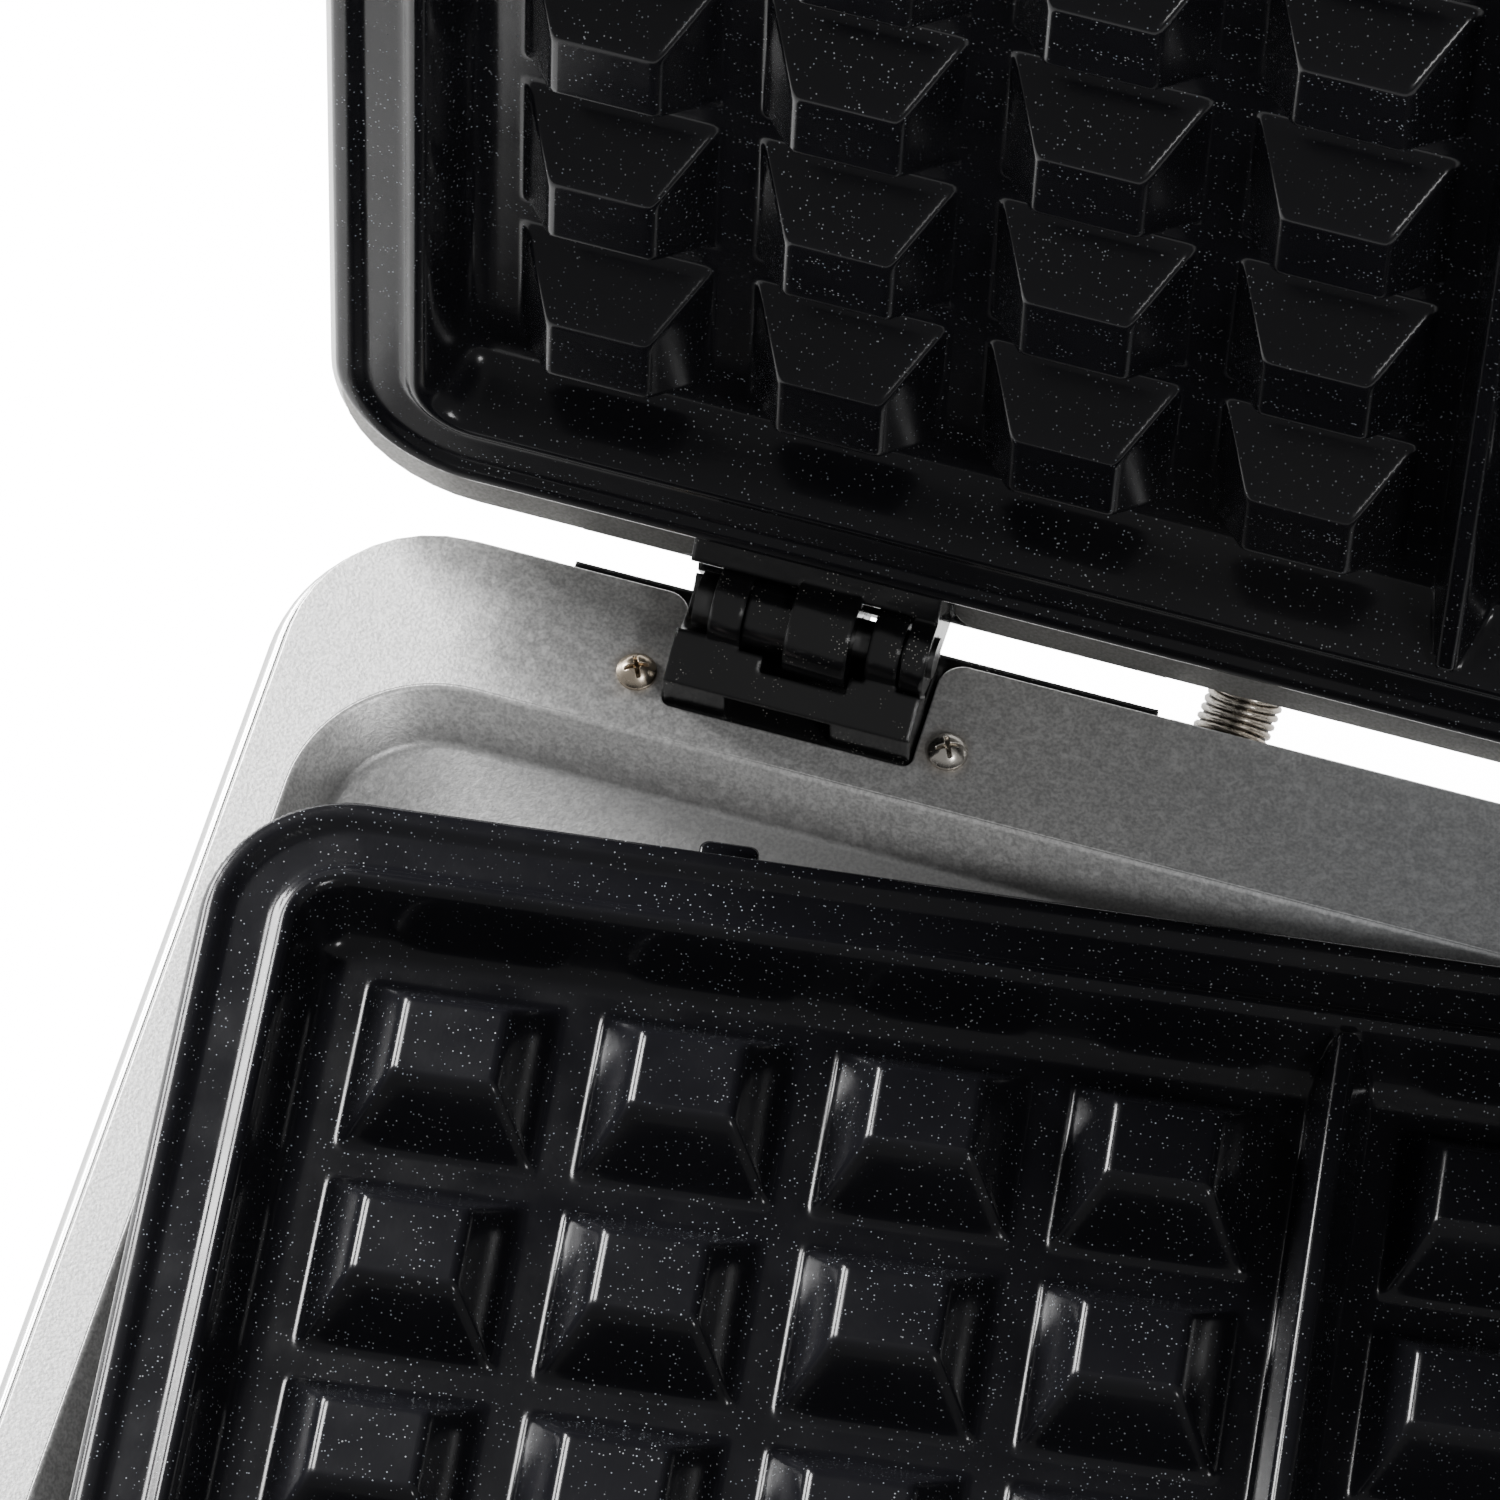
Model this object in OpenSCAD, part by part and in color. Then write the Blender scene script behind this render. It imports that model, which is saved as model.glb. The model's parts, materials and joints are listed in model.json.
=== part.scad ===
/* [Housing] */
// Half width of the pan and housing rim
half_width = 137.4; // [137:0.1:139]
// Height of the lower pan rim above the table
rim_height = 44; // [44:0.5:48]
// Height of the rubber feet
foot_height = 6; // [4:0.5:6]
// How far the lid stands open
lid_angle = 96; // [90:1:96]

/* [Baking plates] */
// Distance between pockets across the plate
pitch_x = 28; // [26:0.1:28]
// Distance between pockets front to back
pitch_y = 26.6; // [25:0.1:26.8]
// Height of one stud above the plate floor
stud_height = 8.8; // [7:0.1:9.2]
// Turn of the loose lower plate about its seat corner
loose_turn = 7.8; // [0:0.05:7.8]

/* [Controls] */
// Radius of the thermostat knob
knob_r = 16; // [12:0.5:17]
// How far the latch is swung out
latch_angle = 25; // [5:1:30]
// Radius of the hinge pin
pin_r = 2.5; // [2:0.1:2.8]

/* [Hidden] */
$fn = 48;
hw = half_width;
rear = 112;
front = -112;
parting = rim_height + 8.7;
hinge_y = 107.3;
pan_t = 0.8;
recess_hw = hw - 5.9;
recess_rear = 92.5;
recess_front = -102;
shelf_z = rim_height - 7;
trough_z = rim_height - 19;
trough_hw = 117;
plate_hw = 135.6;
plate_rear = 96.2;
plate_front = plate_rear - 193.4;
floor_z = parting - 0.5 - stud_height;
tray_z = floor_z - 1.2;
heater_z = tray_z - 4.3;
hinge_x = 76;
knob_x = 78;
knob_z = 24;
bar_z = 25;
pivot_y = -154;
pivot_z = 74;
gland_x = 42;
conduit_x = -27;
conduit_bend = 15.9;
terminal_x = 105;

// flat rounded rectangle, half width w, from y0 to y1
module slab(w, y0, y1, r, z0, z1) {
  translate([0, 0, z0]) linear_extrude(z1 - z0) union() {
    translate([-w, y0 + r]) square([2 * w, y1 - y0 - 2 * r]);
    translate([-w + r, y0]) square([2 * w - 2 * r, y1 - y0]);
    for (x = [-w + r, w - r], y = [y0 + r, y1 - r]) translate([x, y]) circle(r);
  }
}
module block(x0, x1, y0, y1, z0, z1) {
  translate([x0, y0, z0]) cube([x1 - x0, y1 - y0, z1 - z0]);
}
module rod_x(x0, x1, y, z, r) {
  translate([x0, y, z]) rotate([0, 90, 0]) cylinder(r = r, h = x1 - x0);
}
module rod_y(x, y0, y1, z, r) {
  translate([x, y0, z]) rotate([-90, 0, 0]) cylinder(r = r, h = y1 - y0);
}
// mirror about the parting plane: a base feature becomes a lid feature
module flip() {
  translate([0, 0, 2 * parting]) mirror([0, 0, 1]) children();
}
// swing from the shut position to the open one
module open_lid() {
  translate([0, hinge_y, parting]) rotate([-lid_angle, 0, 0])
    translate([0, -hinge_y, -parting]) children();
}
// the lower plate lies loose, turned and raised in front
module loose() {
  translate([83.5, 74.7, parting]) rotate(a = loose_turn, v = [-5, 0, 13])
    translate([-83.5, -74.7, -parting]) children();
}

// ---------------------------------------------------------------- housing
module half_shell(top_notches) {
  difference() {
    union() {
      slab(hw + 2.4, front - 2.4, rear + 0.6, 19.5, foot_height, rim_height - 4.5);
      slab(hw + 0.7, front - 0.7, rear + 0.5, 18.2, rim_height - 4.5, rim_height - 0.85);
    }
    slab(hw + 1.6, front - 1.6, rear - 0.2, 18.7, foot_height - 1, rim_height - 5.3);
    slab(hw - 0.1, front + 0.1, rear - 0.3, 17.4, rim_height - 6, rim_height);
    for (s = [-1, 1])
      block(s * hinge_x - 31, s * hinge_x + 43 - 1, rear - 1, rear + 2,
        rim_height - 4.6, rim_height);
    if (top_notches) rod_y(knob_x, front - 3, front, knob_z, 5);
    rod_y(conduit_x, rear - 2, rear + 2, 30, 5.6);
    for (x = [-50, 50]) rod_y(x, front - 3, front, bar_z + 6, 2.3);
  }
}
module base_shell() color("silver") difference() {
  half_shell(true);
  rod_y(gland_x, rear - 2, rear + 2, 22, 7.1);
}
module base_bottom() color("dimgray") difference() {
  slab(hw + 1.4, front - 1.4, rear - 0.4, 18.5, foot_height, foot_height + 1.2);
  for (x = [-110, 110], y = [-84, 84]) translate([x, y, 0]) cylinder(r = 2.1, h = 20);
  for (x = [-60:20:60], y = [-30, 30])
    block(x - 3, x + 3, y - 18, y + 18, foot_height - 1, foot_height + 2);
}
module base_feet() color("black") for (x = [-110, 110], y = [-84, 84])
  translate([x, y, 0]) {
    cylinder(r = 9, h = foot_height - 0.01);
    translate([0, 0, foot_height - 0.1]) cylinder(r = 2, h = 1.5);
    translate([0, 0, foot_height + 1.25]) cylinder(r = 3.2, h = 1.8);
  }

// ------------------------------------------------------------------- pans
module pan_skin(t) {
  slab(recess_hw + t, recess_front - t, recess_rear + t, 18 + t, shelf_z - t, rim_height + 1);
  slab(trough_hw + t, -89 - t, 72 + t, 14 + t, trough_z - t, shelf_z + 1);
}
module half_pan() {
  difference() {
    union() {
      slab(hw, front, rear, 17.5, rim_height - pan_t, rim_height);
      intersection() {
        pan_skin(pan_t);
        slab(hw, front, rear, 17.5, 0, rim_height);
      }
    }
    pan_skin(0);
    for (s = [-1, 1]) {
      block(s * hinge_x - 15.6, s * hinge_x + 15.6, rear - 15.2, rear + 1,
        rim_height - 2, rim_height + 1);
      for (d = [-19.4, 19.4]) translate([s * hinge_x + d, 100, rim_height - 2])
        cylinder(r = 1.7, h = 4);
    }
    for (y = [54, -62]) translate([terminal_x, y, trough_z - 2]) cylinder(r = 3.2, h = 4);
    block(-8, 8, front - 1, front + 6.5, rim_height - 2, rim_height + 1);
  }
}
module base_pan() color("gainsboro") half_pan();

// ----------------------------------------------------------------- plates
module stud(x, y) {
  translate([x, y, floor_z - 0.6]) linear_extrude(stud_height + 0.6, slices = 1,
    scale = [0.542, 0.471]) square([22.8, 22], center = true);
}
module half_plate() {
  difference() {
    union() {
      slab(plate_hw, plate_front, plate_rear, 17.5, parting - 3, parting);
      slab(125.8, plate_front + 9.3, plate_rear - 9.3, 10.8, tray_z, parting - 2);
      for (s = [-1, 1])
        block(s * 75.6 - 3.7, s * 75.6 + 3.7, plate_rear - 3, plate_rear + 4,
          parting - 6.4, parting - 4.6);
      for (s = [-1, 1])
        block(s * 75.6 - 3.7, s * 75.6 + 3.7, plate_rear - 3, plate_rear, parting - 6.4, parting - 1);
    }
    slab(124.3, plate_front + 10.8, plate_rear - 10.8, 9, floor_z, parting + 1);
    difference() {
      slab(132.5, plate_front + 3.1, plate_rear - 3.1, 14.4, parting - 0.9, parting + 1);
      slab(126.3, plate_front + 8.9, plate_rear - 8.9, 11, parting - 2, parting + 2);
    }
  }
  block(-1.1, 1.1, plate_front + 10, plate_rear - 10, floor_z - 0.6, parting);
  block(-2.8, 2.8, plate_front + 10, plate_rear - 10, floor_z - 0.6, floor_z + 3);
  for (i = [0:5], k = [0:3], s = [-1, 1])
    stud(s * (19.3 + k * pitch_x), plate_rear - 30.4 - i * pitch_y);
}
module lower_plate() color("black") loose() half_plate();

// ---------------------------------------------------------------- heaters
module heater_bend(x, y, r, s) {
  translate([x, y, heater_z]) rotate([0, 0, s * 90 - 90])
    rotate([0, 0, -90]) rotate_extrude(angle = 180) translate([r, 0]) circle(4);
}
module half_heater() {
  runs = [54, 15.3, -23.3, -62];
  for (y = runs) rod_x(-88, 88, y, heater_z, 4);
  heater_bend(-88, 34.65, 19.35, -1);
  heater_bend(88, -4, 19.3, 1);
  heater_bend(-88, -42.65, 19.35, -1);
  for (y = [54, -62]) {
    rod_x(88, terminal_x, y, heater_z, 4);
    translate([terminal_x, y, 11]) cylinder(r = 2.9, h = heater_z - 11);
    translate([terminal_x, y, heater_z]) sphere(4);
  }
}
module half_clips() {
  for (x = [-60, 60], y = [54, 15.3, -23.3, -62]) difference() {
    block(x - 4, x + 4, y - 7, y + 7, trough_z, heater_z + 1);
    rod_x(x - 5, x + 5, y, heater_z, 4.05);
    block(x - 5, x + 5, y - 4.05, y + 4.05, heater_z, heater_z + 3);
  }
}
module half_terminals() {
  for (y = [54, -62]) translate([terminal_x, y, 0]) difference() {
    union() {
      translate([0, 0, 13]) cylinder(r = 5, h = 5);
      translate([0, 0, 17.9]) cylinder(r = 8, h = trough_z - pan_t - 18);
    }
    cylinder(r = 2.95, h = trough_z);
  }
}
module base_heater() color("gray") half_heater();
module base_heater_clips() color("lightgray") half_clips();
module base_terminals() color("ivory") half_terminals();
module thermal_fuse() color("white") {
  rod_x(-30, 10, 0, trough_z - 4, 3);
  rod_x(-40, -30, 0, trough_z - 4, 0.8);
  rod_x(10, 20, 0, trough_z - 4, 0.8);
}
module base_wiring() color("firebrick") {
  rod_y(gland_x, 75, 104, 14, 1.4);
  rod_x(gland_x - 1.4, terminal_x + 1.4, 75, 14, 1.4);
  rod_y(terminal_x, 59.2, 76.4, 14, 1.4);
  rod_y(terminal_x - 13, -90.5, 62.4, 14, 1.4);
  rod_x(terminal_x - 14.4, terminal_x - 5.2, 54, 14, 1.4);
  rod_x(terminal_x - 11, terminal_x - 5.2, -62, 14, 1.4);
}

// ------------------------------------------------------------- thermostat
module thermostat_body() color("tan") difference() {
  union() {
    block(knob_x - 17, knob_x + 17, -108, -91, foot_height + 3, 34.5);
    rod_y(knob_x, -113.4, -107, knob_z, 4.7);
  }
  rod_y(knob_x, -114, -96, knob_z, 3.05);
}
module thermostat_shaft() color("silver") rod_y(knob_x, -127, -97, knob_z, 3);
module thermostat_knob() color("black") difference() {
  union() {
    rod_y(knob_x, -119, -115.4, knob_z, knob_r);
    rod_y(knob_x, -130, -119, knob_z, knob_r - 2.5);
    block(knob_x - 1.2, knob_x + 1.2, -131, -120, knob_z + 2, knob_z + knob_r - 3);
  }
  rod_y(knob_x, -127.1, -115, knob_z, 3.02);
  for (a = [0:20:340]) translate([knob_x, 0, knob_z]) rotate([0, a + 10, 0])
    translate([knob_r - 1.9, 0, 0]) rod_y(0, -131, -120.5, 0, 1.2);
}

// ----------------------------------------------------------------- hinges
module base_hinge() difference() {
  union() {
    block(-31, 42, 94.5, rear + 1.2, rim_height - 4.5, rim_height - pan_t);
    difference() {
      translate([-15.3, 0, 0]) rotate([90, 0, 90]) linear_extrude(30.6)
        polygon([[97.4, rim_height - 1], [97.4, rim_height + 5], [102, rim_height + 7.6],
          [107.3, rim_height + 8.7], [111.3, rim_height + 8.7], [111.3, rim_height - 1]]);
      rod_x(-4.3, 6.4, hinge_y, parting, 6.9);
      rod_x(-7.4, 8.1, hinge_y, parting, 5);
      rod_x(12.2, 16, hinge_y, parting, 5.2);
      rod_x(-16, -11.4, hinge_y, parting, 4.2);
      block(-7.7, 5.4, 96, 100.9, rim_height - 0.7, rim_height + 4.3);
      block(12.2, 16, 104.5, 113, parting - 5.6, parting + 1);
    }
    rod_x(-11.4, -7.4, hinge_y, parting, 4.7);
    rod_x(8.1, 12, hinge_y, parting, 4.7);
  }
  rod_x(-20, 20, hinge_y, parting, pin_r);
  for (d = [-19.4, 19.4]) translate([d, 100, 0]) cylinder(r = 1.6, h = 80);
}
module lid_hinge() difference() {
  union() {
    flip() block(-31, 42, 94.5, rear + 1.2, rim_height - 4.5, rim_height - pan_t);
    difference() {
      flip() translate([-15.3, 0, 0]) rotate([90, 0, 90]) linear_extrude(30.6)
        polygon([[97.4, rim_height - 1], [97.4, rim_height + 5], [102, rim_height + 7.2],
          [111.3, rim_height + 2.5], [111.3, rim_height - 1]]);
      rod_x(-16, 16, hinge_y, parting, 4.95);
      flip() block(-6.2, 6.2, 96, 100.9, rim_height - 0.7, rim_height + 4.3);
    }
    intersection() {
      union() {
        rod_x(-1.7, 6, hinge_y, parting, 6.2);
        block(-1.7, 6, hinge_y - 6.2, hinge_y + 4.6, parting, parting + 9);
      }
      block(-20, 20, 90, 120, parting - 7, parting + 9.2);
    }
    rod_x(-7.3, 6, hinge_y, parting, 4.2);
    rod_x(12.4, 15.3, hinge_y, parting, 4.8);
    block(12.4, 15.3, hinge_y - 4.8, hinge_y + 4.8, parting, parting + 9);
  }
  rod_x(-20, 20, hinge_y, parting, pin_r + 0.05);
  for (d = [-19.4, 19.4]) translate([d, 100, 0]) cylinder(r = 1.6, h = 180);
}
module base_hinge_left() color("black") translate([-hinge_x, 0, 0]) base_hinge();
module base_hinge_right() color("black") translate([hinge_x, 0, 0]) base_hinge();
module hinge_pins() color("gray") for (s = [-1, 1]) {
  rod_x(s * hinge_x - 12, s * hinge_x + 15.8, hinge_y, parting, pin_r);
  rod_x(s * hinge_x - 13.7, s * hinge_x - 11.6, hinge_y, parting, 3.4);
}
module pan_screw() {
  difference() {
    union() {
      cylinder(r = 2.45, h = 1.3);
      cylinder(r = 1.9, h = 2);
    }
    for (a = [0, 90]) rotate([0, 0, a + 25]) block(-1.5, 1.5, -0.3, 0.3, 0.8, 3);
  }
  translate([0, 0, -7]) cylinder(r = 1.5, h = 7.1);
}
module half_hinge_screws() for (s = [-1, 1], d = [-19.4, 19.4])
  translate([s * hinge_x + d, 100, rim_height]) pan_screw();
module base_hinge_screws() color("silver") half_hinge_screws();

// ---------------------------------------------------------------- handles
module half_handle() {
  difference() {
    union() {
      for (x = [-50, 50]) {
        block(x - 8, x + 8, -136, -117.9, bar_z, bar_z + 12);
        block(x - 10, x + 10, -118, front - 2.45, bar_z - 2, bar_z + 13);
      }
      block(-58, 58, -150, -135, bar_z, bar_z + 12);
    }
    for (x = [-50, 50]) rod_y(x, -130, -114, bar_z + 6, 1.8);
    for (x = [-58, 58]) block(x - 3, x + 3, -151, -146, bar_z - 1, bar_z + 13);
  }
}
module half_handle_screws() for (x = [-50, 50]) {
  rod_y(x, -128, front + 0.5, bar_z + 6, 1.75);
  rod_y(x, front + 0.1, front + 2, bar_z + 6, 3.6);
}
module base_handle() color("black") half_handle();
module base_handle_screws() color("silver") half_handle_screws();

// ------------------------------------------------------------ rear outlet
module cord_gland() color("black") difference() {
  union() {
    rod_y(gland_x, rear - 3, rear + 0.65, 22, 6.9);
    rod_y(gland_x, rear + 0.65, rear + 9, 22, 9.5);
    rod_y(gland_x, rear - 5, rear - 2.8, 22, 8.6);
  }
  rod_y(gland_x, rear - 6, rear + 10, 22, 3.6);
}
module half_grommet() difference() {
  union() {
    rod_y(conduit_x, rear - 2, rear + 0.65, 30, 5.4);
    rod_y(conduit_x, rear + 0.65, rear + 3, 30, 7.6);
    rod_y(conduit_x, rear - 3.4, rear - 1.2, 30, 7);
  }
  rod_y(conduit_x, rear - 4, rear + 4, 30, 4);
  rod_y(conduit_x, rear + 1, rear + 4, 30, 5.5);
}
module base_conduit_grommet() color("black") half_grommet();
module conduit_spring() color("silver")
  translate([conduit_x, rear + 1.1, 30 + conduit_bend]) rotate([0, 90, 0])
    rotate_extrude(angle = 84) translate([conduit_bend, 0]) difference() {
      circle(4.8);
      circle(3.9);
    }

// -------------------------------------------------------------- releases
module half_release() {
  block(-11, 11, -121, -113, rim_height + 0.3, rim_height + 3.6);
  block(-6, 6, -114, -99, rim_height + 0.3, rim_height + 2.5);
  block(-6, 6, -111.6, -110, rim_height - 3, rim_height + 0.4);
}
module base_release() color("black") half_release();

// -------------------------------------------------------------------- lid
module lid_shell() color("silver") open_lid() flip() difference() {
  union() {
    half_shell(false);
    slab(hw + 0.2, front + 1, rear - 1.4, 18, 8.4 - 3, foot_height + 1);
    slab(hw + 2.4, front - 2.4, rear + 0.6, 19.5, foot_height, foot_height + 0.9);
  }
  slab(hw - 0.6, front + 1.8, rear - 2.2, 17, 6.2, foot_height + 3);
  for (x = [knob_x - 9, knob_x + 9]) rod_y(x, front - 3, front, knob_z, 4.2);
}
module lid_pan() color("gainsboro") open_lid() flip() half_pan();
module upper_plate() color("black") open_lid() flip() half_plate();
module lid_heater() color("gray") open_lid() flip() half_heater();
module lid_heater_clips() color("lightgray") open_lid() flip() half_clips();
module lid_terminals() color("ivory") open_lid() flip() half_terminals();
module lid_hinge_left() color("black") open_lid() translate([-hinge_x, 0, 0]) lid_hinge();
module lid_hinge_right() color("black") open_lid() translate([hinge_x, 0, 0]) lid_hinge();
module lid_hinge_screws() color("silver") open_lid() flip() half_hinge_screws();
module lid_handle() color("black") open_lid() difference() {
  union() {
    flip() half_handle();
    block(-9, 9, -158, -149, pivot_z - 4, pivot_z + 4);
  }
  rod_x(-10, 10, pivot_y, pivot_z, 1.5);
}
module lid_handle_screws() color("silver") open_lid() flip() half_handle_screws();
module lid_conduit_grommet() color("black") open_lid() flip() half_grommet();
module lid_release() color("black") open_lid() flip() half_release();
module lamp_bezel() color("black") open_lid() flip() difference() {
  block(knob_x - 18, knob_x + 18, front - 4.2, front - 2.45, knob_z - 8, knob_z + 8);
  for (x = [knob_x - 9, knob_x + 9]) rod_y(x, front - 5, front, knob_z, 3.65);
}
module lamp(x) {
  rod_y(x, front - 6, front + 12, knob_z, 3.6);
}
module lamp_power() color("red") open_lid() flip() lamp(knob_x - 9);
module lamp_ready() color("green") open_lid() flip() lamp(knob_x + 9);

// ------------------------------------------------------------------ latch
module swing_latch() {
  translate([0, pivot_y, pivot_z]) rotate([-latch_angle, 0, 0])
    translate([0, -pivot_y, -pivot_z]) children();
}
module latch() color("silver") open_lid() swing_latch() difference() {
  union() {
    for (s = [-1, 1]) {
      block(s * 11 - 1.5, s * 11 + 1.5, -156.5, -151.3, 22, pivot_z);
      rod_x(s * 11 - 1.5, s * 11 + 1.5, pivot_y, pivot_z, 4);
    }
    block(-12.5, 12.5, -159, -156.4, 30, 62);
    block(-12.5, 12.5, -156.5, -143, 20.5, 24.5);
  }
  rod_x(-14, 14, pivot_y, pivot_z, 1.55);
}
module latch_pin() color("gray") open_lid() rod_x(-13.6, 13.6, pivot_y, pivot_z, 1.5);

// ------------------------------------------------------------- assembly
base_shell();
base_bottom();
base_feet();
base_pan();
base_heater();
base_heater_clips();
base_terminals();
thermal_fuse();
base_wiring();
thermostat_body();
thermostat_shaft();
thermostat_knob();
base_hinge_left();
base_hinge_right();
hinge_pins();
base_hinge_screws();
base_handle();
base_handle_screws();
cord_gland();
base_conduit_grommet();
conduit_spring();
base_release();
lower_plate();
lid_shell();
lid_pan();
upper_plate();
lid_heater();
lid_heater_clips();
lid_terminals();
lid_hinge_left();
lid_hinge_right();
lid_hinge_screws();
lid_handle();
lid_handle_screws();
lid_conduit_grommet();
lamp_bezel();
lamp_power();
lamp_ready();
lid_release();
latch();
latch_pin();
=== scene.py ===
"""Open waffle maker with its lower plate lying loose: the looks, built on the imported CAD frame."""

import json
import math

import bpy
import numpy as np
from mathutils import Matrix, Vector

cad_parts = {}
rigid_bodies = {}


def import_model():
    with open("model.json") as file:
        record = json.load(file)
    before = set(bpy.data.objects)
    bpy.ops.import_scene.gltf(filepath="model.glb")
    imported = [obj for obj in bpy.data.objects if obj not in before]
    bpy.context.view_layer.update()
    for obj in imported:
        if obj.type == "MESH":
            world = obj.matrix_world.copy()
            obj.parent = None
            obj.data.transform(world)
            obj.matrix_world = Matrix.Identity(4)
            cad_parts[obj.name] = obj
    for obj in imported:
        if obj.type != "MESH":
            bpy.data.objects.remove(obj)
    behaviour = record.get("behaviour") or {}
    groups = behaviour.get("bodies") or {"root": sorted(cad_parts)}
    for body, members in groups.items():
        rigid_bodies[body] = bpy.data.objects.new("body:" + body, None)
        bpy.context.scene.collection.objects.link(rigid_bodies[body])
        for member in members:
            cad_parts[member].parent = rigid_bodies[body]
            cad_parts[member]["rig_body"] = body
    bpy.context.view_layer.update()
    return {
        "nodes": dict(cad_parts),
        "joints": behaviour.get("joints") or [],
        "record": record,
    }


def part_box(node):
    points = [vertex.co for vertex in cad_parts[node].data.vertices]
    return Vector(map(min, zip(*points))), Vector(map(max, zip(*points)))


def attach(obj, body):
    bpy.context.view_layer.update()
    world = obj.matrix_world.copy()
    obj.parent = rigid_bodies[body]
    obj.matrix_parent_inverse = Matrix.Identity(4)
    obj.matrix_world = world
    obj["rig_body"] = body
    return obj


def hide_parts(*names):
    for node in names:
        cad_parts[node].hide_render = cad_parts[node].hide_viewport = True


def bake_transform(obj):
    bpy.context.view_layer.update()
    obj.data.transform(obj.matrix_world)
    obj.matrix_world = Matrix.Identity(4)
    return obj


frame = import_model()

MM = 0.001
JOINTS = {joint["name"]: joint for joint in frame["joints"]}
SLOTS = {p["node"]: p["material_slot"] for p in frame["record"]["subparts"]}

# ------------------------------------------------------------ sizes, in millimetres
PAN_LOW, PAN_HIGH = (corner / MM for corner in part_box("base_pan"))
HALF_W, REAR, FRONT, RIM = PAN_HIGH.x, PAN_HIGH.y, PAN_LOW.y, PAN_HIGH.z
HINGE = Vector(JOINTS["lid_hinge"]["pos_m"]) / MM
PARTING = HINGE.z
HINGE_X = 76.0
PLATE_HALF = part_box("upper_plate")[1].x / MM
PLATE_REAR = REAR - 15.8
PLATE_DEPTH = 193.4
PLATE_R = 17.5
PAN_R = 17.5
FLOOR_DEPTH = 9.3
TRAY_DEPTH = 10.5
PITCH_X, PITCH_Y = 28.0, 26.6
FIRST_X, FIRST_Y = 19.3, 30.4
TIP_X, TIP_Y = 6.18, 5.19
STUD_TIP = -0.5
SLOPE_X, SLOPE_Y = 1.69, 1.52
TAB_X, TAB_HALF = 75.6, 3.7
SCREW_X = 19.4
SCREW_Y = REAR - 12
SCREW_HOLE_R = 1.75
HEAD_R, SHANK_R = 2.45, 1.5
BRACKET_HALF, BRACKET_DEPTH = 15.6, 15.2
RELEASE_HALF, RELEASE_DEPTH = 8, 6.5
SHEET = 0.8
RECESS = (HALF_W - 6.1, -101.8, 92.3, 18.0)  # half width, front, rear, corner radius
NOTCHES = ((-108, -33), (44, 119))
SHELL_BOTTOM = 6.0
CONDUIT_START = Vector((-27, REAR + 0.9, 30))
CONDUIT_BEND, CONDUIT_TURN = 15.9, math.radians(84)
CONDUIT_TAIL, CONDUIT_LEAN = 4.0, 4.0
WIRE_R, WIRE_SIDES, COIL_R, COIL_PITCH = 0.46, 8, 4.3, 1.15
LID_OPEN = math.radians(JOINTS["lid_hinge"]["range_deg"][1])
SEAT = JOINTS["lower_plate_seat"]


# ------------------------------------------------------------ places
def screw_places():
    """The centres of one half's four bracket screws, on the pan's edge."""
    return [(side * HINGE_X + offset, SCREW_Y) for side in (-1, 1) for offset in (-SCREW_X, SCREW_X)]


def turn_about(point, axis, angle):
    """Turning by angle about an axis through point."""
    return (
        Matrix.Translation(point)
        @ Matrix.Rotation(angle, 4, Vector(axis))
        @ Matrix.Translation(-Vector(point))
    )


ON_BASE = Matrix.Identity(4)
IN_LID = turn_about(HINGE, (1, 0, 0), -LID_OPEN) @ (
    Matrix.Translation((0, 0, 2 * PARTING)) @ Matrix.Scale(-1, 4, (0, 0, 1))
)
LYING_LOOSE = turn_about(
    Vector(SEAT["pos_m"]) / MM, SEAT["axis"], -math.radians(SEAT["range_deg"][1])
)


# ------------------------------------------------------------ mesh helpers
def new_piece(name, points, faces, place, body, paint, replaced=(), smooth=True):
    """A mesh piece from points in millimetres, set in place and riding on its body."""
    mesh = bpy.data.meshes.new(name)
    moved = [place @ Vector(p) * MM for p in points]
    if place.determinant() < 0:
        faces = [tuple(reversed(f)) for f in faces]
    mesh.from_pydata(moved, [], faces)
    mesh.update()
    piece = bpy.data.objects.new(name, mesh)
    bpy.context.collection.objects.link(piece)
    if smooth:
        mesh.polygons.foreach_set("use_smooth", [True] * len(mesh.polygons))
    mesh.materials.append(paint)
    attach(piece, body)
    if replaced:
        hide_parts(*replaced)
    return piece


def ring(half, y0, y1, radius, z, steps=10):
    """A rounded rectangle at height z, counter-clockwise from the front right."""
    centres = [
        (half - radius, y0 + radius, -90),
        (half - radius, y1 - radius, 0),
        (-half + radius, y1 - radius, 90),
        (-half + radius, y0 + radius, 180),
    ]
    points = []
    for x, y, start in centres:
        for i in range(steps + 1):
            angle = math.radians(start + 90 * i / steps)
            points.append((x + radius * math.cos(angle), y + radius * math.sin(angle), z))
    return points


def split_straights(points, parts_each=96):
    """The closed line with its four long straights divided, so that cuts in it stay local."""
    result = []
    for a, b in zip(points, points[1:] + points[:1]):
        parts = parts_each if math.dist(a, b) > 20 else 1
        for i in range(parts):
            t = i / parts
            result.append(tuple(a[k] + (b[k] - a[k]) * t for k in range(3)))
    return result


def loft(rings, close_first=False, close_last=False):
    """Quads between rings of equal length, with optional end caps."""
    count = len(rings[0])
    points = [p for r in rings for p in r]
    faces = []
    for i in range(len(rings) - 1):
        a, b = i * count, (i + 1) * count
        faces += [(a + j, a + (j + 1) % count, b + (j + 1) % count, b + j) for j in range(count)]
    if close_first:
        faces.append(tuple(reversed(range(count))))
    if close_last:
        faces.append(tuple(range((len(rings) - 1) * count, len(rings) * count)))
    return points, faces


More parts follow.
